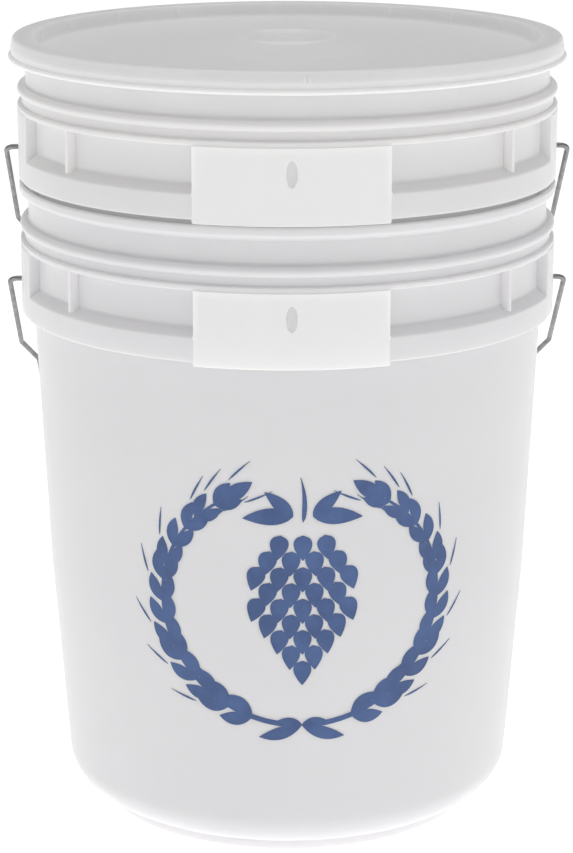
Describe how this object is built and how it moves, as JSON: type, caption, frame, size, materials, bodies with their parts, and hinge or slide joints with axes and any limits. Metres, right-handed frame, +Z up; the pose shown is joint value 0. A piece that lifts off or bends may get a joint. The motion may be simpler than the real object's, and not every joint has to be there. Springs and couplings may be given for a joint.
{
  "type": "plastic fermenting bucket set",
  "caption": "Tapered translucent plastic brewing pails, one nested in the other, with a gasketed press-on lid and swinging wire bails with plastic grips.",
  "frame": {"origin": "centre of the outer pail's foot ring, on the plane it stands on", "axes": "+Z up the common axis of the pails and lid; -Y is the printed front; the bails pivot about lines parallel to X and hang behind, at +Y"},
  "size_m": [0.325, 0.3403, 0.4512],
  "materials": {
    "outer_pail_plastic": "translucent natural white, satin",
    "inner_pail_plastic": "translucent natural white, satin",
    "lid_plastic": "natural white, satin",
    "gasket_rubber": "matte foam rubber",
    "bail_wire_steel": "bright galvanised",
    "grip_plastic": "moulded natural white",
    "front_print": "blue screen print"
  },
  "bodies": {
    "outer_bucket": {"outer_bucket": "outer_pail_plastic"},
    "inner_bucket": {"inner_bucket": "inner_pail_plastic"},
    "lid": {"lid": "lid_plastic", "lid_gasket": "gasket_rubber"},
    "upper_bail": {"upper_bail_wire": "bail_wire_steel"},
    "lower_bail": {"lower_bail_wire": "bail_wire_steel"},
    "upper_grip": {"upper_bail_grip": "grip_plastic"},
    "lower_grip": {"lower_bail_grip": "grip_plastic"}
  },
  "joints": [
    {"name": "inner_bucket_lift", "type": "slide", "parent": "outer_bucket", "child": "inner_bucket", "axis": [0, 0, 1], "range_m": [0, 0.3]},
    {"name": "lid_lift", "type": "slide", "parent": "inner_bucket", "child": "lid", "axis": [0, 0, 1], "range_m": [0, 0.03]},
    {"name": "upper_bail_swing", "type": "hinge", "parent": "inner_bucket", "child": "upper_bail", "pos_m": [0, 0, 0.3865], "axis": [1, 0, 0], "range_deg": [0, 256]},
    {"name": "lower_bail_swing", "type": "hinge", "parent": "outer_bucket", "child": "lower_bail", "pos_m": [0, 0, 0.3095], "axis": [1, 0, 0], "range_deg": [0, 22]},
    {"name": "upper_grip_spin", "type": "hinge", "parent": "upper_bail", "child": "upper_grip", "pos_m": [0, 0.17179, 0.25229], "axis": [1, 0, 0], "continuous": true},
    {"name": "lower_grip_spin", "type": "hinge", "parent": "lower_bail", "child": "lower_grip", "pos_m": [0, 0.17179, 0.17529], "axis": [1, 0, 0], "continuous": true}
  ]
}
